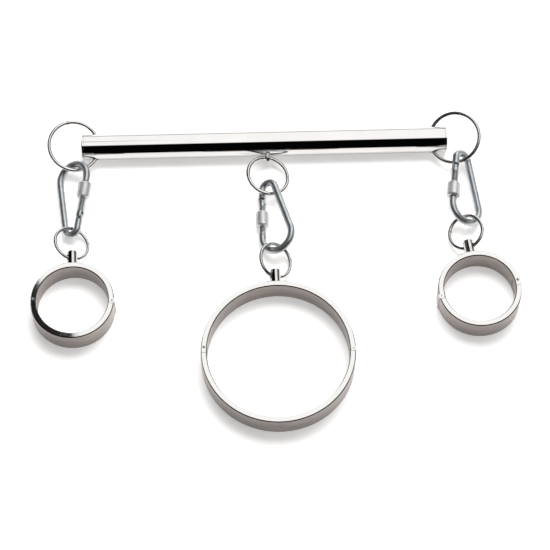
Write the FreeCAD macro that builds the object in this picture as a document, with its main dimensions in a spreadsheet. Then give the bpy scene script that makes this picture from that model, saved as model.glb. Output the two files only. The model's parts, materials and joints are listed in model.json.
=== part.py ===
import FreeCAD, Part
import os
import math
import Sketcher

# Wrist and neck restraint set: a steel bar with three rings, three screw-lock
# snap hooks, three small rings, two wrist cuffs and one neck collar.
# The bar lies along X, the hooks and cuffs lie towards -Y, all on a flat floor.

V = FreeCAD.Vector
os.makedirs("parts", exist_ok=True)
doc = FreeCAD.newDocument("restraint_set")
sheet = doc.addObject("Spreadsheet::Sheet", "Sizes")

SIZES = (
    ("bar_dia", 22.8, "bar outer diameter"),
    ("bar_long", 321, "bar length over the caps"),
    ("bar_wall", 2, "tube wall"),
    ("hole_inset", 12.5, "cross hole centre from the bar end"),
    ("cross_hole", 5.2, "cross hole diameter"),
    ("cap_thick", 2, "end cap disc"),
    ("cap_spigot", 5, "end cap spigot length"),
    ("big_wire", 3.5, "wire of the three bar rings"),
    ("end_ring_mean", 44.2, "end ring mean diameter"),
    ("mid_ring_mean", 36, "middle ring mean diameter"),
    ("eye_thick", 2.4, "eye plate thickness"),
    ("eye_reach", 14, "eye hole from the bar axis"),
    ("eye_round", 4.4, "eye plate outer radius"),
    ("eye_hole", 4.6, "eye hole diameter"),
    ("small_wire", 3.2, "wire of the three small rings"),
    ("small_mean", 30.4, "small ring mean diameter"),
    ("hook_wire", 6.4, "hook wire diameter"),
    ("hook_long", 74, "hook length overall"),
    ("wide_r", 14.5, "wide end centre line radius"),
    ("narrow_r", 6.5, "narrow end centre line radius"),
    ("pivot_up", 11, "pivot above the narrow end tangent point"),
    ("split_up", 32, "gate and nose split above the pivot"),
    ("tongue", 2.2, "hinge tongue thickness"),
    ("tip_thick", 2, "gate tip tongue thickness"),
    ("tip_long", 2.8, "gate tip tongue length"),
    ("play", 0.3, "gap between moving faces"),
    ("fit", 0.06, "radial running fit"),
    ("rivet_dia", 2, "gate rivet diameter"),
    ("thread_pitch", 1.5, "screw thread pitch on the gate"),
    ("thread_deep", 0.45, "screw thread depth"),
    ("sleeve_dia", 11.6, "screw sleeve outer diameter"),
    ("sleeve_long", 14.6, "screw sleeve length"),
    ("sleeve_bevel", 1.4, "screw sleeve end bevel"),
    ("bore_dia", 3.2, "spring bore inside the gate"),
    ("spring_wire", 0.45, "gate spring wire"),
    ("plunger_long", 3.5, "gate plunger length"),
    ("band_wall", 5, "cuff and collar wall"),
    ("band_high", 22, "cuff and collar height"),
    ("band_edge", 0.7, "broken edge on the bands"),
    ("wrist_bore", 61, "wrist cuff inside diameter"),
    ("neck_bore", 120, "neck collar inside diameter"),
    ("lug_dia", 9.4, "lug post diameter"),
    ("lug_long", 15, "lug post length"),
    ("lug_hole", 5.2, "lug cross hole diameter"),
    ("lug_hole_out", 8.8, "lug cross hole from the band"),
    ("pin_in", 1.8, "hinge pin axis inside the outer face"),
    ("pin_dia", 1.8, "hinge pin diameter"),
    ("knuckle_dia", 5, "hinge knuckle diameter"),
    ("knuckle_high", 7.2, "outer hinge knuckle height"),
    ("key_thick", 3.1, "lock key radial thickness"),
    ("key_high", 8, "lock key height"),
    ("key_long", 8, "lock key length past the joint"),
    ("screw_dia", 2.5, "lock screw diameter"),
    ("screw_long", 5, "lock screw length"),
    ("screw_up", 5, "lock screw axis past the joint"),
    ("socket_dia", 1.4, "lock screw socket"),
)


class Size:
    """A number that remembers the sheet expression it comes from."""

    def __init__(self, value, text):
        self.value = value
        self.text = text

    def mix(self, other, sign, swap=False):
        other = other if isinstance(other, Size) else Size(float(other), repr(float(other)))
        a, b = (other, self) if swap else (self, other)
        text = "(" + a.text + " " + sign + " " + b.text + ")"
        if sign == "+":
            return Size(a.value + b.value, text)
        if sign == "-":
            return Size(a.value - b.value, text)
        if sign == "*":
            return Size(a.value * b.value, text)
        return Size(a.value / b.value, text)

    def __add__(self, other):
        return self.mix(other, "+")

    def __radd__(self, other):
        return self.mix(other, "+", True)

    def __sub__(self, other):
        return self.mix(other, "-")

    def __rsub__(self, other):
        return self.mix(other, "-", True)

    def __mul__(self, other):
        return self.mix(other, "*")

    def __rmul__(self, other):
        return self.mix(other, "*", True)

    def __truediv__(self, other):
        return self.mix(other, "/")

    def __neg__(self):
        return self.mix(-1, "*")


S = {}
for row, (alias, value, note) in enumerate(SIZES, 1):
    sheet.set("A" + str(row), note)
    sheet.set("B" + str(row), str(value))
    sheet.setAlias("B" + str(row), alias)
    S[alias] = Size(float(value), "Sizes." + alias)
doc.recompute()


def number(q):
    return q.value if isinstance(q, Size) else float(q)


def bind(obj, prop, q):
    """Give a property its size, bound to the sheet when it comes from there."""
    if isinstance(q, Size):
        obj.setExpression(prop, q.text)
        return
    owner = obj
    steps = prop.split(".")
    if len(steps) == 1:
        setattr(owner, prop, float(q))


def place(obj, x=0, y=0, z=0, turn=None):
    base = V(number(x), number(y), number(z))
    obj.Placement = FreeCAD.Placement(base, turn or FreeCAD.Rotation())
    for axis, q in zip("xyz", (x, y, z)):
        if isinstance(q, Size):
            obj.setExpression("Placement.Base." + axis, q.text)
    return obj


ALONG_X = FreeCAD.Rotation(V(0, 1, 0), 90)
ALONG_Y = FreeCAD.Rotation(V(1, 0, 0), -90)


def cylinder(name, radius, height, **where):
    obj = doc.addObject("Part::Cylinder", name)
    bind(obj, "Radius", radius)
    bind(obj, "Height", height)
    return place(obj, **where)


def block(name, size, corner, turn=None):
    obj = doc.addObject("Part::Box", name)
    for prop, q in zip(("Length", "Width", "Height"), size):
        bind(obj, prop, q)
    return place(obj, corner[0], corner[1], corner[2], turn)


def cut(name, base, *tools):
    tool = tools[0]
    if len(tools) > 1:
        tool = doc.addObject("Part::MultiFuse", name + "_tools")
        tool.Shapes = list(tools)
    obj = doc.addObject("Part::Cut", name)
    obj.Base = base
    obj.Tool = tool
    return obj


def fuse(name, *items):
    obj = doc.addObject("Part::MultiFuse", name)
    obj.Shapes = list(items)
    return obj


def common(name, base, tool):
    obj = doc.addObject("Part::Common", name)
    obj.Base = base
    obj.Tool = tool
    return obj


def plane_of(body, role):
    for item in body.Origin.OriginFeatures:
        if item.Role == role:
            return item
    return None


def outline(body, name, role, corners):
    """A closed sketch of straight lines, each corner bound to the sheet."""
    sketch = body.newObject("Sketcher::SketchObject", name)
    sketch.AttachmentSupport = [(plane_of(body, role), "")]
    sketch.MapMode = "FlatFace"
    points = [V(number(x), number(y), 0) for x, y in corners]
    count = len(points)
    for i in range(count):
        sketch.addGeometry(Part.LineSegment(points[i], points[(i + 1) % count]), False)
    for i in range(count):
        sketch.addConstraint(Sketcher.Constraint("Coincident", i, 2, (i + 1) % count, 1))
    for i, (x, y) in enumerate(corners):
        for kind, q in (("DistanceX", x), ("DistanceY", y)):
            n = sketch.addConstraint(Sketcher.Constraint(kind, -1, 1, i, 1, number(q)))
            if isinstance(q, Size):
                sketch.setExpression("Constraints[" + str(n) + "]", q.text)
    return sketch


def turned(name, corners):
    """A body turned about Z from an outline of (radius, height) corners."""
    body = doc.addObject("PartDesign::Body", name)
    sketch = outline(body, name + "_outline", "XZ_Plane", corners)
    spin = body.newObject("PartDesign::Revolution", name + "_turn")
    spin.Profile = sketch
    spin.ReferenceAxis = (sketch, ["V_Axis"])
    spin.Angle = 360
    body.Tip = spin
    sketch.Visibility = False
    return body


def ring(name, mean, wire):
    obj = doc.addObject("Part::Torus", name)
    bind(obj, "Radius1", mean / 2)
    bind(obj, "Radius2", wire / 2)
    return obj


# ---------------------------------------------------------------- the bar

NODES = {}
FRAME = {}


def node(name, obj, frame):
    obj.Label = name
    NODES[name] = obj
    FRAME[name] = frame


bar_r = S["bar_dia"] / 2
hole_x = S["bar_long"] / 2 - S["hole_inset"]
END_TILT = {"left": 11, "right": 16}
EYE_X = 2.7
EYE_DROP = 6


def eye_turn():
    """Turn of the eye plate about the bar: -Y, a little below level."""
    return FreeCAD.Rotation(V(1, 0, 0), EYE_DROP)


def make_bar():
    outer = cylinder("bar_outer", bar_r, S["bar_long"] - 2 * S["cap_thick"],
                     x=S["cap_thick"] - S["bar_long"] / 2, turn=ALONG_X)
    inner = cylinder("bar_inner", bar_r - S["bar_wall"], S["bar_long"] + 2,
                     x=-S["bar_long"] / 2 - 1, turn=ALONG_X)
    drills = []
    for side, sign in (("left", -1), ("right", 1)):
        lean = FreeCAD.Rotation(V(1, 0, 0), END_TILT[side])
        drill = cylinder("drill_" + side, S["cross_hole"] / 2, S["bar_dia"] + 8)
        turn = lean.multiply(ALONG_Y)
        start = lean.multVec(V(0, -number(S["bar_dia"]) / 2 - 4, 0))
        place(drill, sign * hole_x, start.y, start.z, turn)
        drills.append(drill)
    return cut("bar_tube", outer, inner, *drills)


def make_cap(name):
    disc = S["cap_thick"]
    spigot_r = bar_r - S["bar_wall"]
    soft = 0.6
    corners = ((0, 0), (spigot_r, 0), (spigot_r, S["cap_spigot"]),
               (bar_r, S["cap_spigot"]), (bar_r, S["cap_spigot"] + disc - soft),
               (bar_r - soft, S["cap_spigot"] + disc), (0, S["cap_spigot"] + disc))
    return turned(name, corners)


def make_eye():
    thick = S["eye_thick"]
    plate = block("eye_plate", (thick, S["eye_reach"], S["eye_round"] * 2),
                  (-thick / 2, -S["eye_reach"], -S["eye_round"]))
    round_end = cylinder("eye_end", S["eye_round"], thick,
                         x=-thick / 2, y=-S["eye_reach"], turn=ALONG_X)
    whole = fuse("eye_whole", plate, round_end)
    hole = cylinder("eye_drill", S["eye_hole"] / 2, thick + 4,
                    x=-thick / 2 - 2, y=-S["eye_reach"], turn=ALONG_X)
    seat = cylinder("eye_seat", bar_r, thick + 4, x=-thick / 2 - 2, turn=ALONG_X)
    return cut("ring_eye", whole, hole, seat)


# -------------------------------------------------------------- snap hook

wire_r = S["hook_wire"] / 2
wide = S["wide_r"]
narrow = S["narrow_r"]
span = number(S["hook_long"] - S["hook_wire"] - wide - narrow)
half_angle = math.asin((number(wide) - number(narrow)) / span)
gate_run = span * math.cos(half_angle)


def hook_frame():
    """From the middle of the hook to its gate pivot, Y along the gate."""
    pivot = V(number(narrow) * math.cos(half_angle),
              -span / 2 - number(narrow) * math.sin(half_angle), 0)
    along = V(math.sin(half_angle), math.cos(half_angle), 0)
    pivot = pivot + along * number(S["pivot_up"])
    return FreeCAD.Placement(pivot, FreeCAD.Rotation(V(0, 0, 1), -math.degrees(half_angle)))


def hook_path(body, name):
    """Centre line of the wire: nose, wide end, spine, narrow end, hinge end."""
    sketch = body.newObject("Sketcher::SketchObject", name)
    sketch.AttachmentSupport = [(plane_of(body, "XY_Plane"), "")]
    sketch.MapMode = "FlatFace"
    w = number(wide)
    n = number(narrow)
    top = gate_run - number(S["pivot_up"])
    low = -number(S["pivot_up"])
    split = number(S["split_up"])
    seam = -number(wire_r + S["play"])
    far = math.pi + 2 * half_angle
    wide_end = V(-w + w * math.cos(far), top + w * math.sin(far), 0)
    narrow_start = V(-n + n * math.cos(far), low + n * math.sin(far), 0)
    up = V(0, 0, 1)
    sketch.addGeometry(Part.LineSegment(V(0, split, 0), V(0, top, 0)), False)
    sketch.addGeometry(Part.ArcOfCircle(Part.Circle(V(-w, top, 0), up, w), 0, far), False)
    sketch.addGeometry(Part.LineSegment(wide_end, narrow_start), False)
    sketch.addGeometry(
        Part.ArcOfCircle(Part.Circle(V(-n, low, 0), up, n), far, 2 * math.pi), False)
    sketch.addGeometry(Part.LineSegment(V(0, low, 0), V(0, seam, 0)), False)
    rule = Sketcher.Constraint
    joins = ((0, 2, 1, 1), (1, 2, 2, 1), (2, 2, 3, 1), (3, 2, 4, 1))
    for join in joins:
        sketch.addConstraint(rule("Tangent", *join))
    sketch.addConstraint(rule("PointOnObject", 0, 1, -2))
    sketch.addConstraint(rule("Vertical", 0))
    sketch.addConstraint(rule("PointOnObject", 4, 2, -2))
    sketch.addConstraint(rule("Vertical", 4))
    for kind, where, value, text in (
            ("Radius", (1,), w, wide.text), ("Radius", (3,), n, narrow.text)):
        k = sketch.addConstraint(rule(kind, where[0], value))
        sketch.setExpression("Constraints[" + str(k) + "]", text)
    for geo, point, value, q in ((0, 1, split, S["split_up"]), (3, 3, low, -S["pivot_up"]),
                                 (4, 2, seam, -(wire_r + S["play"]))):
        k = sketch.addConstraint(rule("DistanceY", -1, 1, geo, point, value))
        sketch.setExpression("Constraints[" + str(k) + "]", q.text)
    sketch.addConstraint(rule("DistanceY", -1, 1, 1, 3, top))
    return sketch


def make_hook(name):
    body = doc.addObject("PartDesign::Body", name + "_wire")
    path = hook_path(body, name + "_path")
    disc = body.newObject("Sketcher::SketchObject", name + "_disc")
    disc.AttachmentSupport = [(plane_of(body, "XZ_Plane"), "")]
    disc.MapMode = "FlatFace"
    disc.setExpression("AttachmentOffset.Base.z", "-" + S["split_up"].text)
    circle = Part.Circle(V(0, 0, 0), V(0, 0, 1), number(wire_r))
    disc.addGeometry(circle, False)
    disc.addConstraint(Sketcher.Constraint("Coincident", 0, 3, -1, 1))
    k = disc.addConstraint(Sketcher.Constraint("Radius", 0, number(wire_r)))
    disc.setExpression("Constraints[" + str(k) + "]", wire_r.text)
    doc.recompute()
    pipe = body.newObject("PartDesign::AdditivePipe", name + "_pipe")
    pipe.Profile = disc
    pipe.Spine = (path, [])
    body.Tip = pipe
    half = S["tongue"] / 2
    arm = block(name + "_tongue", (wire_r * 2 - 0.6, wire_r + 2, S["tongue"]),
                (-wire_r + 0.3, -wire_r - 2, -half))
    tip = cylinder(name + "_tongue_end", wire_r - S["play"], S["tongue"], z=-half)
    solid = fuse(name + "_solid", body, arm, tip)
    hole = cylinder(name + "_pin_hole", S["rivet_dia"] / 2, S["hook_wire"], z=-wire_r)
    gap = S["tip_thick"] / 2 + S["play"]
    slot = block(name + "_nose_slot", (wire_r * 2 - 1.4, S["tip_long"] + 1.6, gap * 2),
                 (-wire_r - 0.4, S["split_up"] - 1, -gap))
    return cut(name, solid, hole, slot)


def make_gate(name):
    top = S["split_up"] - 0.4
    low = S["pivot_up"] - 6.5
    corners = [(0, 0), (wire_r, 0), (wire_r, low)]
    crest = low
    while number(crest) + 1.5 < number(top) - 1.2:
        root = wire_r - S["thread_deep"]
        corners.append((root, crest + S["thread_pitch"] * 0.35))
        corners.append((root, crest + S["thread_pitch"] * 0.5))
        corners.append((wire_r, crest + S["thread_pitch"] * 0.85))
        crest = crest + S["thread_pitch"]
        corners.append((wire_r, crest))
    corners.append((wire_r, top))
    corners.append((0, top))
    rod = turned(name + "_rod", corners)
    rod.Placement = FreeCAD.Placement(V(0, 0, 0), ALONG_Y)
    ball = doc.addObject("Part::Sphere", name + "_ball")
    bind(ball, "Radius", wire_r)
    tip_half = S["tip_thick"] / 2
    tip = block(name + "_tip", (wire_r * 2 - 2.6, S["tip_long"] + 1, S["tip_thick"]),
                (-wire_r + 0.5, top - 1, -tip_half))
    solid = fuse(name + "_solid", rod, ball, tip)
    gap = S["tongue"] / 2 + S["play"]
    fork = block(name + "_fork", (wire_r * 2 + 2, wire_r * 2 + 1, gap * 2),
                 (-wire_r - 1, -wire_r - 1, -gap))
    hole = cylinder(name + "_hole", S["rivet_dia"] / 2 + S["fit"], S["hook_wire"] + 2,
                    z=-wire_r - 1)
    bore = cylinder(name + "_bore", S["bore_dia"] / 2, 13.5, y=wire_r - 0.5, turn=ALONG_Y)
    return cut(name, solid, fork, hole, bore)


def make_plunger(name):
    radius = S["bore_dia"] / 2 - 0.1
    return cylinder(name, radius, S["plunger_long"])


def make_spring(name):
    """Coil spring behind the plunger, along Y of the gate."""
    wire = number(S["spring_wire"]) / 2
    mean = number(S["bore_dia"]) / 2 - 0.15 - wire
    helix = Part.makeHelix(1.1, 8.4, mean)
    profile = Part.Wire(Part.makeCircle(wire, V(mean, 0, 0), V(0, 1, 0)))
    shape = Part.Wire(helix.Edges).makePipeShell([profile], True, True)
    obj = doc.addObject("Part::Feature", name)
    obj.Shape = shape
    return obj


def make_sleeve(name):
    bore = wire_r + S["fit"]
    outer = S["sleeve_dia"] / 2
    bevel = S["sleeve_bevel"]
    end = S["sleeve_long"]
    corners = ((bore, 0), (outer - bevel, 0), (outer, bevel), (outer, end - bevel),
               (outer - bevel, end), (bore, end))
    return turned(name, corners)


# ------------------------------------------------------- cuffs and collar

high = S["band_high"]


def band_ring(name, bore_r, wall):
    edge = S["band_edge"]
    inner = bore_r
    outer = bore_r + wall
    corners = ((inner + edge, 0), (outer - edge, 0), (outer, edge), (outer, high - edge),
               (outer - edge, high), (inner + edge, high), (inner, high - edge),
               (inner, edge))
    return turned(name, corners)


def make_band(name, bore, joint_y, side):
    """Both halves of one band; side is +1 when the hinge is on +X."""
    bore_r = bore / 2
    outer_r = bore_r + S["band_wall"]
    pin_x = side * number(outer_r - S["pin_in"])
    pin_x = math.copysign(math.sqrt(pin_x * pin_x - joint_y * joint_y), side)
    wide_box = 2 * outer_r + 20
    half_gap = S["play"] / 2
    knuckle = S["knuckle_dia"] / 2
    relief = knuckle + S["play"]
    step = S["knuckle_high"]
    middle = high - 2 * step
    far_box = block(name + "_far_box", (wide_box, wide_box, high + 2),
                    (-wide_box / 2, joint_y + half_gap, -1))
    near_box = block(name + "_near_box", (wide_box, wide_box, high + 2),
                     (-wide_box / 2, joint_y - half_gap - wide_box, -1))
    far = common(name + "_far_arc", band_ring(name + "_far_ring", bore_r, S["band_wall"]),
                 far_box)
    near = common(name + "_near_arc", band_ring(name + "_near_ring", bore_r, S["band_wall"]),
                  near_box)
    # far half: knuckles at top and bottom, relief in the middle
    far_low = cylinder(name + "_far_low", knuckle, step, x=pin_x, y=joint_y)
    far_top = cylinder(name + "_far_top", knuckle, step, x=pin_x, y=joint_y, z=high - step)
    far_solid = fuse(name + "_far_solid", far, far_low, far_top)
    far_relief = cylinder(name + "_far_relief", relief, middle, x=pin_x, y=joint_y, z=step)
    far_bore = cylinder(name + "_far_bore", S["pin_dia"] / 2, high + 2,
                        x=pin_x, y=joint_y, z=-1)
    # near half: one knuckle in the middle, relief at top and bottom
    gap = S["play"]
    near_mid = cylinder(name + "_near_mid", knuckle, middle - 2 * gap,
                        x=pin_x, y=joint_y, z=step + gap)
    near_low_relief = cylinder(name + "_near_low", relief, step + gap + 1,
                               x=pin_x, y=joint_y, z=-1)
    near_top_relief = cylinder(name + "_near_top", relief, step + gap + 1,
                               x=pin_x, y=joint_y, z=high - step - gap)
    near_base = cut(name + "_near_base", near, near_low_relief, near_top_relief)
    # lock key on the near half, keyway in the far half
    lock = -side
    key_low = (high - S["key_high"]) / 2
    key_ring = cut(name + "_key_ring",
                   cylinder(name + "_key_out", bore_r + S["key_thick"], S["key_high"], z=key_low),
                   cylinder(name + "_key_in", bore_r + 0.1, high, z=0))
    key_box = block(name + "_key_box", (outer_r, S["key_long"] + 3, high),
                    (-outer_r if lock < 0 else 0, joint_y - 3, 0))
    key = common(name + "_key", key_ring, key_box)
    way_ring = cut(name + "_way_ring",
                   cylinder(name + "_way_out", bore_r + S["key_thick"] + 0.7,
                            S["key_high"] + 1, z=key_low - 0.5),
                   cylinder(name + "_way_in", bore_r - 3, high + 2, z=-1))
    way_box = block(name + "_way_box", (outer_r, S["key_long"] + 1.6, high),
                    (-outer_r if lock < 0 else 0, joint_y - 1, 0))
    way = common(name + "_way", way_ring, way_box)
    screw_y = S["screw_up"] + joint_y
    screw_x = lock * number(bore_r + S["band_wall"] / 2)
    screw_x = math.copysign(math.sqrt(screw_x * screw_x - number(screw_y) ** 2), lock)
    screw_hole = cylinder(name + "_screw_hole", S["screw_dia"] / 2 + S["fit"], high,
                          x=screw_x, y=screw_y, z=key_low)
    key_hole = cylinder(name + "_key_hole", S["screw_dia"] / 2 + S["play"], high,
                        x=screw_x, y=screw_y, z=0)
    keyed = fuse(name + "_near_solid", near_base, near_mid, key)
    near_bore = cylinder(name + "_near_bore", S["pin_dia"] / 2 + S["fit"], high + 2,
                         x=pin_x, y=joint_y, z=-1)
    far_half = cut("band_far_" + name, far_solid, far_relief, far_bore, way, screw_hole)
    near_half = cut("band_near_" + name, keyed, near_bore, key_hole)
    return far_half, near_half, pin_x, screw_x, number(screw_y)


def make_lug(name, bore, clock):
    """Round post with a cross hole; its root fits the outside of the band.

    The post is screwed in, so its hole stops at its own clock angle.
    """
    outer_r = bore / 2 + S["band_wall"]
    radius = S["lug_dia"] / 2
    soft = 0.9
    corners = ((0, 0), (radius, 0), (radius, S["lug_long"] + 2 - soft),
               (radius - soft, S["lug_long"] + 2), (0, S["lug_long"] + 2))
    post = turned(name + "_post", corners)
    place(post, 0, outer_r - 2, high / 2, ALONG_Y)
    seat = cylinder(name + "_seat", outer_r, high + 4, z=-2)
    turn = FreeCAD.Rotation(V(0, 1, 0), clock).multiply(ALONG_X)
    start = -(radius + 2)
    a = math.radians(clock)
    hole = cylinder(name + "_drill", S["lug_hole"] / 2, S["lug_dia"] + 4,
                    x=start * math.cos(a), y=outer_r + S["lug_hole_out"],
                    z=high / 2 - start * math.sin(a), turn=turn)
    return cut(name, post, seat, hole)


def make_screw(name):
    body = cylinder(name + "_body", S["screw_dia"] / 2, S["screw_long"])
    socket = cylinder(name + "_socket", S["socket_dia"] / 2, 2, z=S["screw_long"] - 1.6)
    return cut(name, body, socket)


# ------------------------------------------------------------ rest layout


def turn_of(yaw, pitch, roll):
    turn = FreeCAD.Rotation(V(0, 0, 1), yaw)
    turn = turn.multiply(FreeCAD.Rotation(V(1, 0, 0), pitch))
    return turn.multiply(FreeCAD.Rotation(V(0, 1, 0), roll))


def on_circle(radius, degrees):
    a = math.radians(degrees)
    return V(radius * math.cos(a), radius * math.sin(a), 0)


# Each drop: swing of its bar ring, then where and how each link hangs on the
# one before (angles in degrees, slack in mm along the link).
DROPS = {
    "left": dict(flip=0, lift=13, ring_at=1, slack=0.3, hook=(0, 3, -33), low_side=0,
                 low_slack=1, ring_top=2, small=(1, 26), band_yaw=3,
                 band="wrist_left", bore="wrist_bore", joint=-2.5, hinge=1, sleeve=0.9),
    "centre": dict(flip=1, lift=16, ring_at=4, slack=5.6, hook=(9, -4, -31), low_side=-2.5,
                   low_slack=1, ring_top=1, small=(-2, 34), band_yaw=2,
                   band="neck", bore="neck_bore", joint=0, hinge=1, sleeve=8),
    "right": dict(flip=1, lift=16, ring_at=16, slack=2, hook=(2, 0, 35), low_side=0,
                  low_slack=0.8, ring_top=-1, small=(-3, -26), band_yaw=9,
                  band="wrist_right", bore="wrist_bore", joint=-2.5, hinge=-1, sleeve=0.9),
}

BAR_TURN = FreeCAD.Rotation(V(0, 0, 1), 1.5)
bar_at = FreeCAD.Placement(V(0, 0, number(bar_r)), BAR_TURN)
END_R = number(S["end_ring_mean"]) / 2
MID_R = number(S["mid_ring_mean"]) / 2
SMALL_R = number(S["small_mean"]) / 2
LUG_HALF = number(S["lug_dia"]) / 2
LUG_SAG = (SMALL_R - math.sqrt(SMALL_R ** 2 - LUG_HALF ** 2)) / 2
BIG_GAP = number(wire_r + S["big_wire"] / 2) + 0.3
SMALL_GAP = number(wire_r + S["small_wire"] / 2) + 0.3


def bar_ring_frame(side, drop):
    """Ring frame in the world: X outwards, Y along the hole or towards the bar."""
    if side == "centre":
        hole = FreeCAD.Rotation(V(1, 0, 0), EYE_DROP).multVec(V(0, -number(S["eye_reach"]), 0))
        turn = turn_of(0, -2, drop["lift"])
        base = bar_at.multVec(hole + V(EYE_X, 0, 0))
        centre = base - turn.multVec(V(0, MID_R, 0))
        return FreeCAD.Placement(centre, turn), MID_R
    sign = -1 if side == "left" else 1
    lean = FreeCAD.Rotation(V(1, 0, 0), END_TILT[side])
    raise_by = FreeCAD.Rotation(V(0, 1, 0), -sign * drop["lift"])
    turn = BAR_TURN.multiply(lean.multiply(raise_by))
    inner = number(bar_r - S["bar_wall"] / 2)
    reach = math.sqrt(END_R ** 2 - inner ** 2)
    hole = bar_at.multVec(V(sign * number(hole_x), 0, 0))
    return FreeCAD.Placement(hole + turn.multVec(V(sign * reach, 0, 0)), turn), END_R


def drop_frames(side, drop):
    """World frames of the bar ring, the hook, the small ring and the band."""
    ring_frame, radius = bar_ring_frame(side, drop)
    outward = -1 if side == "left" else 1
    touch = ring_frame.multVec(on_circle(radius, -90 + outward * drop["ring_at"]))
    if side == "centre":
        touch = ring_frame.multVec(on_circle(radius, -90 + drop["ring_at"]))
    yaw, pitch, roll = drop["hook"]
    flip = drop["flip"]
    sense = 1 - 2 * flip
    turn = turn_of(yaw + 180 * flip, pitch * sense, roll * sense)
    wide_top = span / 2 + number(wide)
    narrow_low = -span / 2 - number(narrow)
    if flip:
        upper = V(0, narrow_low + BIG_GAP + drop["slack"], 0)
        lower = V(-drop["low_side"], wide_top - SMALL_GAP - drop["low_slack"], 0)
    else:
        upper = V(0, wide_top - BIG_GAP - drop["slack"], 0)
        lower = V(drop["low_side"], narrow_low + SMALL_GAP + drop["low_slack"], 0)
    hook_at = FreeCAD.Placement(touch - turn.multVec(upper), turn)
    hang = hook_at.multVec(lower)
    # slope of the small ring carries it from the hook to the lug hole height
    small_yaw, small_roll = drop["small"]
    top = on_circle(SMALL_R, 90 + drop["ring_top"])
    band_turn = FreeCAD.Rotation(V(0, 0, 1), drop["band_yaw"])
    pitch = 0.0
    for _ in range(40):
        small_turn = turn_of(small_yaw, pitch, small_roll)
        # the wire runs square to the post where it goes through the lug hole
        in_band = band_turn.inverted().multiply(small_turn)
        square = -math.degrees(math.atan(in_band.multVec(V(1, 0, 0)).y
                                         / in_band.multVec(V(0, 1, 0)).y))
        wire = in_band.multVec(on_circle(1, square))
        clock = math.degrees(math.atan2(-wire.z, wire.x))
        low = on_circle(SMALL_R - LUG_SAG, -90 + square)
        end = hang + small_turn.multVec(low - top)
        error = end.z - number(high) / 2
        pitch = pitch + math.degrees(error / (2 * SMALL_R))
    small_at = FreeCAD.Placement(hang - small_turn.multVec(top), small_turn)
    hole = small_at.multVec(low)
    reach = number(S[drop["bore"]] / 2 + S["band_wall"] + S["lug_hole_out"])
    band_at = FreeCAD.Placement(hole - band_turn.multVec(V(0, reach, number(high) / 2)), band_turn)
    return ring_frame, hook_at, small_at, band_at, touch, hang, hole, clock


def shifted(frame, x=0, y=0, z=0, turn=None):
    return frame.multiply(FreeCAD.Placement(V(x, y, z), turn or FreeCAD.Rotation()))


PIVOTS = {}
node("bar_tube", make_bar(), bar_at)
cap_x = number(S["bar_long"]) / 2 - number(S["cap_thick"] + S["cap_spigot"])
node("bar_cap_right", make_cap("cap_right"), shifted(bar_at, x=cap_x, turn=ALONG_X))
node("bar_cap_left", make_cap("cap_left"),
     shifted(bar_at, x=-cap_x, turn=FreeCAD.Rotation(V(0, 1, 0), -90)))
node("ring_eye", make_eye(), shifted(bar_at, x=EYE_X, turn=eye_turn()))

for side, drop in DROPS.items():
    ring_frame, hook_at, small_at, band_at, touch, hang, hole, clock = drop_frames(side, drop)
    mean = S["mid_ring_mean"] if side == "centre" else S["end_ring_mean"]
    node("bar_ring_" + side, ring("ring_" + side, mean, S["big_wire"]), ring_frame)
    gate_at = hook_at.multiply(hook_frame())
    node("hook_" + side, make_hook("hook_body_" + side), gate_at)
    node("gate_" + side, make_gate("gate_body_" + side), gate_at)
    rivet_long = S["hook_wire"] - 0.4
    rivet = cylinder("rivet_" + side, S["rivet_dia"] / 2, rivet_long)
    node("gate_rivet_" + side, rivet, shifted(gate_at, z=-number(rivet_long) / 2))
    plunger_y = number(wire_r) + 0.1
    node("gate_plunger_" + side, make_plunger("plunger_" + side),
         shifted(gate_at, y=plunger_y, turn=ALONG_Y))
    spring_y = plunger_y + number(S["plunger_long"]) + 0.4
    node("gate_spring_" + side, make_spring("spring_" + side),
         shifted(gate_at, y=spring_y, turn=ALONG_Y))
    sleeve_y = number(S["split_up"] - S["sleeve_long"]) - drop["sleeve"]
    node("screw_sleeve_" + side, make_sleeve("sleeve_" + side),
         shifted(gate_at, y=sleeve_y, turn=ALONG_Y))
    node("small_ring_" + side, ring("small_" + side, S["small_mean"], S["small_wire"]), small_at)
    band = drop["band"]
    far, near, pin_x, screw_x, screw_y = make_band(band, S[drop["bore"]], drop["joint"],
                                                   drop["hinge"])
    node("band_far_" + band, far, band_at)
    node("band_near_" + band, near, band_at)
    node("lug_" + band, make_lug("lug_body_" + band, S[drop["bore"]], clock), band_at)
    pin = cylinder("pin_" + band, S["pin_dia"] / 2, high)
    node("hinge_pin_" + band, pin, shifted(band_at, x=pin_x, y=drop["joint"]))
    screw_z = number(high - S["screw_long"]) - 0.2
    node("lock_screw_" + band, make_screw("screw_" + band),
         shifted(band_at, x=screw_x, y=screw_y, z=screw_z))
    PIVOTS[side] = dict(ring=ring_frame, hook=hook_at, gate=gate_at, small=small_at,
                        band=band_at, touch=touch, hang=hang, hole=hole,
                        pin=band_at.multVec(V(pin_x, drop["joint"], 0)))

doc.recompute()

# ------------------------------------------------- one frame, then export

whole = FreeCAD.BoundBox()
for name, obj in NODES.items():
    shape = obj.Shape.copy()
    shape.Placement = FRAME[name].multiply(shape.Placement)
    whole.add(shape.optimalBoundingBox(False))
centre = V((whole.XMin + whole.XMax) / 2, (whole.YMin + whole.YMax) / 2, whole.ZMin)
SHIFT = FreeCAD.Placement(V(0, 0, 0) - centre, FreeCAD.Rotation())
for name, obj in NODES.items():
    own = obj.Placement
    for axis in "xyz":
        obj.setExpression("Placement.Base." + axis, None)
    obj.Placement = SHIFT.multiply(FRAME[name].multiply(own))
doc.recompute()

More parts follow.
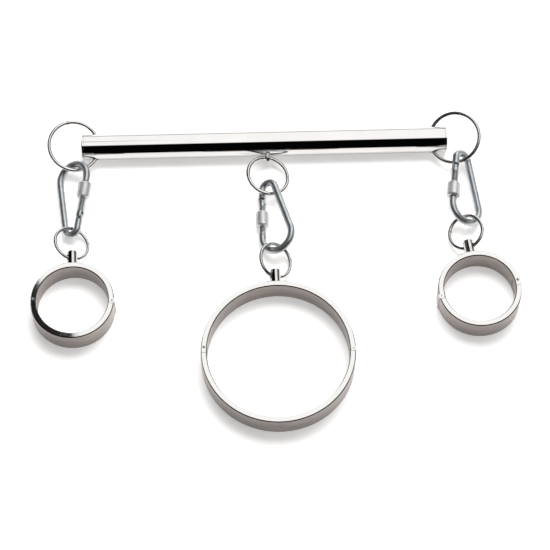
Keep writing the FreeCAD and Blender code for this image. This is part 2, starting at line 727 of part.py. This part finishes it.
for obj in doc.Objects:
    if "Invalid" in obj.State or "Error" in obj.State:
        raise RuntimeError("failed feature " + obj.Name)
for name, obj in NODES.items():
    if obj.Shape.isNull() or not obj.Shape.isValid():
        raise RuntimeError("bad shape " + name)
    if obj.Shape.Volume <= 0 or len(obj.Shape.Solids) != 1:
        raise RuntimeError("not one solid: " + name)
    obj.Shape.exportStep("parts/" + name + ".step")
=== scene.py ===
import json
import math
import bmesh
import bpy
import numpy as np
from mathutils import Matrix, Vector


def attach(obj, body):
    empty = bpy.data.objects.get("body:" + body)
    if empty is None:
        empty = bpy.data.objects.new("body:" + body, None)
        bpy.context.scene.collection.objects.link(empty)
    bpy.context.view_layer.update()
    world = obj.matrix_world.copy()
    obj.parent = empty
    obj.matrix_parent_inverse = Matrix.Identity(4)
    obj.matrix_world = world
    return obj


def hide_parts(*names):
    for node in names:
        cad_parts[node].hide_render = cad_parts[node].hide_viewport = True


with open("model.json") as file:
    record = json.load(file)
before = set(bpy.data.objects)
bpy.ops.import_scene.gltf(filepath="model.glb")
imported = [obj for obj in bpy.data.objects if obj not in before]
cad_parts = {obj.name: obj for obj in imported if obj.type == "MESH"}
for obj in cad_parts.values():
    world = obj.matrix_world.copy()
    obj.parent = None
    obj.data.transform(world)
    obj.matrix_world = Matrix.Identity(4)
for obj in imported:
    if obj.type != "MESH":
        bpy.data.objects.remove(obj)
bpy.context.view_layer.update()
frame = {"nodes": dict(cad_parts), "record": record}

BODY_OF = {n: b for b, ns in frame["record"]["behaviour"]["bodies"].items() for n in ns}
SIDES = ("left", "centre", "right")
BANDS = {"left": "wrist_left", "centre": "neck", "right": "wrist_right"}
JOINTS = {j["name"]: j for j in frame["record"]["behaviour"]["joints"]}

# sizes of the CAD model that the record does not state, in metres
BAR_R = 0.0114
BAND_WALL = 0.005
LUG_R = 0.0047
CAP_DISC = 0.002
EYE_HALF_THICK = 0.0012
EYE_ROUND = 0.0044
SLEEVE_HALF = 0.0073
SLEEVE_R = 0.0058
SLEEVE_BORE = 0.00327
SLEEVE_BEVEL = 0.0014


# ---------------------------------------------------------------- materials

def new_material(name, colour, metallic, roughness):
    mat = bpy.data.materials.new(name)
    mat.use_nodes = True
    shader = mat.node_tree.nodes["Principled BSDF"]
    shader.inputs["Base Color"].default_value = (*colour, 1)
    shader.inputs["Metallic"].default_value = metallic
    shader.inputs["Roughness"].default_value = roughness
    return mat, mat.node_tree, shader


def scaled_coords(tree, scale):
    coords = tree.nodes.new("ShaderNodeTexCoord")
    mapping = tree.nodes.new("ShaderNodeMapping")
    mapping.inputs["Scale"].default_value = scale
    tree.links.new(coords.outputs["Object"], mapping.inputs["Vector"])
    return mapping.outputs["Vector"]


def noise(tree, scale, detail=4, size=1.0, roughness=0.6):
    node = tree.nodes.new("ShaderNodeTexNoise")
    node.inputs["Scale"].default_value = size
    node.inputs["Detail"].default_value = detail
    node.inputs["Roughness"].default_value = roughness
    tree.links.new(scaled_coords(tree, scale), node.inputs["Vector"])
    return node.outputs["Fac"]


def spread(tree, source, low, high, from_low=0.3, from_high=0.7):
    node = tree.nodes.new("ShaderNodeMapRange")
    node.inputs["From Min"].default_value = from_low
    node.inputs["From Max"].default_value = from_high
    node.inputs["To Min"].default_value = low
    node.inputs["To Max"].default_value = high
    tree.links.new(source, node.inputs["Value"])
    return node.outputs["Result"]


def ramp(tree, source, stops):
    node = tree.nodes.new("ShaderNodeValToRGB")
    while len(node.color_ramp.elements) < len(stops):
        node.color_ramp.elements.new(0.5)
    for element, (place, colour) in zip(node.color_ramp.elements, stops):
        element.position = place
        element.color = (*colour, 1)
    tree.links.new(source, node.inputs["Fac"])
    return node.outputs["Color"]


def bump(tree, shader, source, strength, distance):
    node = tree.nodes.new("ShaderNodeBump")
    node.inputs["Strength"].default_value = strength
    node.inputs["Distance"].default_value = distance
    tree.links.new(source, node.inputs["Height"])
    tree.links.new(node.outputs["Normal"], shader.inputs["Normal"])
    return node


def metal(name, dark, light, rough, grain, grain_depth, mottle=90.0, metallic=1.0):
    """Metal with fine grain, soft colour mottling and uneven gloss."""
    mat, tree, shader = new_material(name, light, metallic, rough[0])
    patches = noise(tree, (mottle, mottle, mottle), 3)
    tree.links.new(ramp(tree, patches, ((0.3, dark), (0.7, light))), shader.inputs["Base Color"])
    fine = noise(tree, grain, 2)
    tree.links.new(spread(tree, fine, rough[0], rough[1]), shader.inputs["Roughness"])
    bump(tree, shader, fine, 0.35, grain_depth)
    return mat


def band_metal(name):
    """Mirror polished edge faces, satin walls with grain round the band; the walls also carry
    painted shade, a darker and warmer base colour than the edge faces.
    """
    mat, tree, shader = new_material(name, (0.80, 0.79, 0.78), 1.0, 0.1)
    geometry = tree.nodes.new("ShaderNodeNewGeometry")
    split = tree.nodes.new("ShaderNodeSeparateXYZ")
    tree.links.new(geometry.outputs["True Normal"], split.inputs["Vector"])
    facing = tree.nodes.new("ShaderNodeMath")
    facing.operation = "ABSOLUTE"
    tree.links.new(split.outputs["Z"], facing.inputs[0])
    flat = spread(tree, facing.outputs[0], 0.0, 1.0, 0.55, 0.8)
    grain = noise(tree, (60, 60, 5200), 3)
    wall = spread(tree, grain, 0.24, 0.42)
    polish = spread(tree, noise(tree, (260, 260, 260), 3), 0.012, 0.035)
    mix = tree.nodes.new("ShaderNodeMix")
    tree.links.new(flat, mix.inputs[0])
    tree.links.new(wall, mix.inputs[2])
    tree.links.new(polish, mix.inputs[3])
    tree.links.new(mix.outputs[0], shader.inputs["Roughness"])
    # painted shade: faces that point neither up nor down get a base colour about half as bright
    # as the edge faces
    tint = tree.nodes.new("ShaderNodeMix")
    tint.data_type = "RGBA"
    tree.links.new(flat, tint.inputs[0])
    clouds = noise(tree, (45, 45, 200), 3)
    wall_painted_shade_tones = ((0.3, (0.265, 0.232, 0.216)), (0.7, (0.335, 0.297, 0.280)))
    tree.links.new(ramp(tree, clouds, wall_painted_shade_tones), tint.inputs[6])
    tint.inputs[7].default_value = (0.62, 0.615, 0.605, 1)
    tree.links.new(tint.outputs[2], shader.inputs["Base Color"])
    bump(tree, shader, grain, 0.12, 0.00003)
    return mat


BAR = metal("polished_bar", (0.60, 0.59, 0.585), (0.645, 0.635, 0.63), (0.015, 0.05),
            (30, 1800, 1800), 0.000001, 25)
RING = metal("ring_wire", (0.56, 0.55, 0.54), (0.70, 0.69, 0.68), (0.16, 0.28),
             (900, 900, 900), 0.00001, 150)
ZINC = metal("zinc_wire", (0.42, 0.45, 0.47), (0.58, 0.61, 0.63), (0.26, 0.40),
             (1500, 1500, 1500), 0.00002, 220, 0.9)
SLEEVE = metal("matt_sleeve", (0.56, 0.57, 0.58), (0.72, 0.73, 0.74), (0.30, 0.45),
               (2400, 2400, 2400), 0.00002, 400, 0.65)
LUG = metal("turned_post", (0.50, 0.49, 0.48), (0.62, 0.61, 0.60), (0.05, 0.12),
            (1200, 1200, 1200), 0.00001, 180)
PLAIN = metal("machined_steel", (0.38, 0.38, 0.39), (0.55, 0.55, 0.56), (0.25, 0.4),
              (1500, 1500, 1500), 0.00002, 200)
WELD = metal("weld_bead", (0.42, 0.40, 0.38), (0.62, 0.60, 0.58), (0.25, 0.45),
             (1400, 1400, 1400), 0.00006, 600)
SEAM = metal("seam_shadow", (0.10, 0.10, 0.10), (0.16, 0.155, 0.15), (0.4, 0.6),
             (1400, 1400, 1400), 0.00001, 600)
BAND = band_metal("polished_band")


# ------------------------------------------------------------------- pieces

def keep(obj, body, material):
    obj.data.materials.clear()
    obj.data.materials.append(material)
    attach(obj, body)
    return obj


def is_planar(face, limit):
    """True when no neighbour meets the face at a slight, rounding angle."""
    for edge in face.edges:
        if len(edge.link_faces) != 2:
            continue
        turn = edge.link_faces[0].normal.angle(edge.link_faces[1].normal, 0.0)
        if 0.003 < turn < limit:
            return False
    return True


def from_bmesh(name, bm, angle=35):
    mesh = bpy.data.meshes.new(name)
    bmesh.ops.recalc_face_normals(bm, faces=bm.faces)
    bm.normal_update()
    for face in bm.faces:
        face.smooth = not is_planar(face, math.radians(angle))
    bm.to_mesh(mesh)
    bm.free()
    if "custom_normal" in mesh.attributes:
        mesh.attributes.remove(mesh.attributes["custom_normal"])
    obj = bpy.data.objects.new(name, mesh)
    bpy.context.scene.collection.objects.link(obj)
    mesh.set_sharp_from_angle(angle=math.radians(angle))
    return obj


def dressed(node, material, angle=28):
    """A smooth-shaded copy of a CAD node that stands for it."""
    bm = bmesh.new()
    bm.from_mesh(frame["nodes"][node].data)
    bmesh.ops.remove_doubles(bm, verts=bm.verts, dist=1e-7)
    bmesh.ops.dissolve_degenerate(bm, dist=1e-6, edges=bm.edges)
    obj = from_bmesh(node + "_look", bm, angle)
    keep(obj, BODY_OF[node], material)
    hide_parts(node)
    return obj


def lathe(name, profile, place, segments=128, wave=None):
    """Turn (radius, height) points about Z, then set them in place."""
    bm = bmesh.new()
    rows = []
    for radius, height in profile:
        row = []
        for k in range(segments):
            a = 2 * math.pi * k / segments
            r = radius + (wave(k, height, radius) if wave else 0)
            row.append(bm.verts.new(place @ Vector((r * math.cos(a), r * math.sin(a), height))))
        rows.append(row)
    for low, high in zip(rows, rows[1:]):
        for k in range(segments):
            n = (k + 1) % segments
            bm.faces.new((low[k], low[n], high[n], high[k]))
    return bm, rows


def close_rows(bm, first, last):
    count = len(first)
    for k in range(count):
        n = (k + 1) % count
        bm.faces.new((last[k], last[n], first[n], first[k]))


def middle_of(node):
    """Mean of the distinct corner points, so seams do not pull it aside."""
    corners = {tuple(round(c, 6) for c in v.co) for v in frame["nodes"][node].data.vertices}
    total = Vector((0, 0, 0))
    for corner in corners:
        total += Vector(corner)
    return total / len(corners)


for node in ("bar_tube", "bar_cap_left", "bar_cap_right"):
    dressed(node, BAR)
dressed("ring_eye", PLAIN)
for side in SIDES:
    band = BANDS[side]
    dressed("bar_ring_" + side, RING, 60)
    dressed("small_ring_" + side, RING, 60)
    dressed("hook_" + side, ZINC)
    dressed("gate_" + side, ZINC)
    dressed("gate_rivet_" + side, PLAIN)
    dressed("gate_plunger_" + side, PLAIN)
    dressed("gate_spring_" + side, PLAIN, 60)
    dressed("band_far_" + band, BAND)
    dressed("band_near_" + band, BAND)
    dressed("lug_" + band, LUG)
    dressed("hinge_pin_" + band, PLAIN)
    dressed("lock_screw_" + band, PLAIN)


def knurled_sleeve(side):
    """Screw sleeve with fine crossed knurling between its bevelled ends."""
    node = "screw_sleeve_" + side
    slide = JOINTS["sleeve_" + side + "_screw"]
    axis = Vector(slide["axis"]).normalized()
    centre = middle_of(node)
    turn = axis.to_track_quat("Z", "Y").to_matrix().to_4x4()
    place = Matrix.Translation(centre) @ turn
    teeth = 40
    steps = 4
    rows = 22
    knurl_deep = 0.00016
    knurl_fade = 0.0006
    knurl_pitch = 0.0009
    inner_end = SLEEVE_R - SLEEVE_BEVEL
    low = -SLEEVE_HALF + SLEEVE_BEVEL
    body = []
    for i in range(rows + 1):
        body.append((SLEEVE_R, low + (2 * SLEEVE_HALF - 2 * SLEEVE_BEVEL) * i / rows))
    profile = [(SLEEVE_BORE, -SLEEVE_HALF), (inner_end, -SLEEVE_HALF)] + body
    profile += [(inner_end, SLEEVE_HALF), (SLEEVE_BORE, SLEEVE_HALF)]

    def wave(k, height, radius):
        if radius < SLEEVE_R - 1e-6:
            return 0.0
        end = (SLEEVE_HALF - SLEEVE_BEVEL - abs(height)) / knurl_fade
        depth = knurl_deep * max(0.0, min(1.0, end))
        twist = height / knurl_pitch
        a = 2 * math.pi * k / steps
        return -depth * (1 + 0.5 * math.cos(a + twist * 2) + 0.5 * math.cos(a - twist * 2)) / 2

    bm, rings = lathe(node, profile, place, teeth * steps, wave)
    close_rows(bm, rings[0], rings[-1])
    obj = from_bmesh(node + "_look", bm, 50)
    keep(obj, BODY_OF[node], SLEEVE)
    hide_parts(node)


def swept(name, path, across, radius, ripple, body, material):
    """Closed round bead along a path; across gives its outward direction."""
    bm = bmesh.new()
    count = len(path)
    sides = 12
    rows = []
    for i in range(count):
        along = (path[(i + 1) % count] - path[i - 1]).normalized()
        out = (across[i] - along * across[i].dot(along)).normalized()
        up = along.cross(out)
        size = radius * (1 + ripple * math.sin(i * 2.1) + 0.5 * ripple * math.sin(i * 0.73))
        rows.append([bm.verts.new(path[i] + (out * math.cos(a) + up * math.sin(a)) * size)
                     for a in (2 * math.pi * k / sides for k in range(sides))])
    for i in range(count):
        low, high = rows[i], rows[(i + 1) % count]
        for k in range(sides):
            n = (k + 1) % sides
            bm.faces.new((low[k], low[n], high[n], high[k]))
    return keep(from_bmesh(name, bm, 80), body, material)


def lug_bead(band):
    """Small fillet where the lug post stands on the outside of the band."""
    bore = next(m for m in frame["record"]["mounts"] if m["name"] == band + "_bore")
    centre = Vector(bore["pos_m"])
    wall_r = bore["dims"]["r_mm"] / 1000 + BAND_WALL
    out = (Vector(JOINTS[band + "_swing"]["pos_m"]) - centre).normalized()
    up = Vector((0, 0, 1))
    side = out.cross(up).normalized()
    points = 96
    bead = 0.00055
    path, across = [], []
    for k in range(points):
        a = 2 * math.pi * k / points
        x, z = LUG_R * math.cos(a), LUG_R * math.sin(a)
        path.append(centre + side * x + up * z + out * math.sqrt(wall_r ** 2 - x ** 2))
        across.append(side * math.cos(a) + up * math.sin(a))
    swept("lug_weld_" + band, path, across, bead, 0.10, "band_" + band, WELD)


def eye_bead():
    """Weld round the foot of the centre eye plate on the bar."""
    left, right = middle_of("bar_cap_left"), middle_of("bar_cap_right")
    along = (right - left).normalized()
    eye = middle_of("ring_eye")
    foot = left + along * (eye - left).dot(along)
    out = (eye - foot).normalized()
    side = along.cross(out).normalized()
    points = 64
    bead = 0.0006
    path, across = [], []
    for k in range(points):
        a = 2 * math.pi * k / points
        # clipped waves turn the circle into a rounded oblong
        x = EYE_HALF_THICK * max(-1, min(1, 3.2 * math.cos(a)))
        y = EYE_ROUND * max(-1, min(1, 1.25 * math.sin(a)))
        path.append(foot + along * x + side * y + out * math.sqrt(BAR_R ** 2 - y ** 2))
        across.append(along * math.cos(a) + side * math.sin(a))
    swept("eye_weld", path, across, bead, 0.14, "bar", WELD)


def ring_plane(node):
    """Centre, axis, mean radius and wire radius of a ring node."""
    points = np.array([v.co[:] for v in frame["nodes"][node].data.vertices])
    centre = points.mean(0)
    offsets = points - centre
    axes = np.linalg.eigh(offsets.T @ offsets)[1]
    flat = np.hypot(offsets @ axes[:, 1], offsets @ axes[:, 2])
    mean = (flat.max() + flat.min()) / 2
    wire = (flat.max() - flat.min()) / 2
    return Vector(centre), Vector(axes[:, 0]), float(mean), float(wire)


def ring_joint(node, towards):
    """Flush butt weld that closes a ring: a faint proud collar on the wire."""
    centre, normal, mean, wire = ring_plane(node)
    start = Vector(towards) - normal * Vector(towards).dot(normal)
    start.normalize()
    along = normal.cross(start).normalized()
    turn = Matrix((start, along.cross(start) * -1, along)).transposed().to_4x4()
    place = Matrix.Translation(centre + start * mean) @ turn
    half = 0.0007
    foot = wire * 0.985
    profile = [(foot, -half), (wire * 1.015, -0.00035), (wire * 1.018, 0.0002), (foot, half)]

    def wobble(k, height, radius):
        return 0.00001 * math.sin(k * 0.9 + height * 9000)

    bm, rows = lathe(node + "_weld", profile, place, 48, wobble)
    close_rows(bm, rows[0], rows[-1])
    keep(from_bmesh(node + "_weld", bm, 80), BODY_OF[node], WELD)


def cap_seam(side):
    """Fine dark line where the end cap meets the tube."""
    here = middle_of("bar_cap_" + side)
    other = middle_of("bar_cap_" + ("right" if side == "left" else "left"))
    out = (here - other).normalized()
    points = [v.co for v in frame["nodes"]["bar_cap_" + side].data.vertices]
    end = max((p - here).dot(out) for p in points)
    at = here + out * (end - CAP_DISC)
    turn = out.to_track_quat("Z", "Y").to_matrix().to_4x4()
    place = Matrix.Translation(at) @ turn
    half = 0.00009
    under, over = BAR_R - 0.0003, BAR_R + 0.00001
    profile = [(under, -half), (over, -half), (over, half), (under, half)]
    bm, rows = lathe("cap_seam_" + side, profile, place, 160)
    close_rows(bm, rows[0], rows[-1])
    keep(from_bmesh("cap_seam_" + side, bm, 30), "bar", SEAM)


for side in SIDES:
    knurled_sleeve(side)
    lug_bead(BANDS[side])
    ring_joint("bar_ring_" + side, (0.3 if side == "right" else -0.3, 0.9, 0))
    ring_joint("small_ring_" + side, (0.95 if side != "right" else -0.95, 0.2, 0))
eye_bead()
for side in ("left", "right"):
    cap_seam(side)

# ---------------------------------------------------------- floor and light

FLOOR_HALF = 6.0
floor_bm = bmesh.new()
bmesh.ops.create_grid(floor_bm, x_segments=4, y_segments=4, size=FLOOR_HALF)
floor = from_bmesh("floor", floor_bm)
floor_mat, floor_tree, floor_shader = new_material("pale_floor", (0.9, 0.895, 0.89), 0.0, 0.5)
floor_tint = ramp(floor_tree, noise(floor_tree, (3, 3, 3), 2),
                  ((0.3, (0.895, 0.89, 0.885)), (0.7, (0.91, 0.905, 0.90))))
floor_tree.links.new(floor_tint, floor_shader.inputs["Base Color"])
floor_tree.links.new(floor_tint, floor_shader.inputs["Emission Color"])
floor_shader.inputs["Emission Strength"].default_value = 0.46
floor.data.materials.append(floor_mat)

world = bpy.data.worlds.new("studio")
bpy.context.scene.world = world
world.use_nodes = True
wt = world.node_tree
background = wt.nodes["Background"]
direction = wt.nodes.new("ShaderNodeTexCoord")
parts = wt.nodes.new("ShaderNodeSeparateXYZ")
wt.links.new(direction.outputs["Generated"], parts.inputs["Vector"])
flip = wt.nodes.new("ShaderNodeMath")
flip.operation = "MULTIPLY"
flip.inputs[1].default_value = -1.0
wt.links.new(parts.outputs["Y"], flip.inputs[0])
# angle from straight up towards the front of the set
angle = wt.nodes.new("ShaderNodeMath")
angle.operation = "ARCTAN2"
wt.links.new(flip.outputs[0], angle.inputs[0])
wt.links.new(parts.outputs["Z"], angle.inputs[1])
begin = spread(wt, angle.outputs[0], 0.0, 1.0, math.radians(12), math.radians(17))


def blend(kind, first, second):
    node = wt.nodes.new("ShaderNodeMath")
    node.operation = kind
    for k, value in enumerate((first, second)):
        if isinstance(value, float):
            node.inputs[k].default_value = value
        else:
            wt.links.new(value, node.inputs[k])
    return node.outputs[0]


def tinted(mask, under, colour):
    """The colour laid over what is underneath, where the mask is one."""
    node = wt.nodes.new("ShaderNodeMix")
    node.data_type = "RGBA"
    wt.links.new(mask, node.inputs[0])
    if isinstance(under, tuple):
        node.inputs[6].default_value = (*under, 1)
    else:
        wt.links.new(under, node.inputs[6])
    node.inputs[7].default_value = (*colour, 1)
    return node.outputs[2]


# the bright cloth stops just left of the set and further out on the right
left_edge = spread(wt, parts.outputs["X"], 1.0, 0.0, -0.120, -0.108)
right_edge = spread(wt, parts.outputs["X"], 0.0, 1.0, 0.50, 0.70)
# a dark slanted corner makes the black crescent on the left cuff
slant = blend("ADD", blend("MULTIPLY", parts.outputs["X"], 0.8),
              blend("MULTIPLY", parts.outputs["Y"], 0.6))
corner = blend("MULTIPLY", spread(wt, slant, 1.0, 0.0, 0.1765, 0.1785),
               spread(wt, parts.outputs["Y"], 0.0, 1.0, 0.33, 0.36))
rim = spread(wt, parts.outputs["Z"], 1.0, 0.0, 0.05, 0.20)
cloth = (1.0, 0.995, 0.985)
room = tinted(blend("MAXIMUM", left_edge, right_edge), cloth, (0.07, 0.07, 0.072))
room = tinted(blend("MINIMUM", corner, 0.985), room, (0.0, 0.0, 0.0))
room = tinted(blend("MINIMUM", rim, 0.85), room, (0.1, 0.095, 0.095))
front = tinted(begin, room, (0.0012, 0.0012, 0.0013))
wt.links.new(front, background.inputs["Color"])
background.inputs["Strength"].default_value = 1.5

lamp = bpy.data.lights.new("soft_top", "AREA")
lamp.shape = "RECTANGLE"
lamp.size = 1.4
lamp.size_y = 0.9
lamp.energy = 30
lamp.color = (1.0, 0.985, 0.965)
lamp_obj = bpy.data.objects.new("soft_top", lamp)
lamp_obj.location = (0.1, 0.75, 1.5)
lamp_obj.rotation_euler = (-lamp_obj.location).to_track_quat("-Z", "Y").to_euler()
lamp_obj.visible_glossy = False
bpy.context.scene.collection.objects.link(lamp_obj)

# ------------------------------------------------------------------- camera

# fitted to the view in the photograph
LENS = 149
ELEVATION = math.radians(64)
DISTANCE = 1.959
AIM = Vector((-0.0011, -0.0017, 0.0))

camera = bpy.data.cameras.new("camera")
camera.sensor_width = 36
camera.lens = LENS
camera.clip_end = 30
camera_obj = bpy.data.objects.new("camera", camera)
back = Vector((0, -math.cos(ELEVATION), math.sin(ELEVATION)))
camera_obj.location = AIM + back * DISTANCE
camera_obj.rotation_euler = back.to_track_quat("Z", "Y").to_euler()
bpy.context.scene.collection.objects.link(camera_obj)
bpy.context.scene.camera = camera_obj
bpy.context.scene.view_settings.view_transform = "Standard"
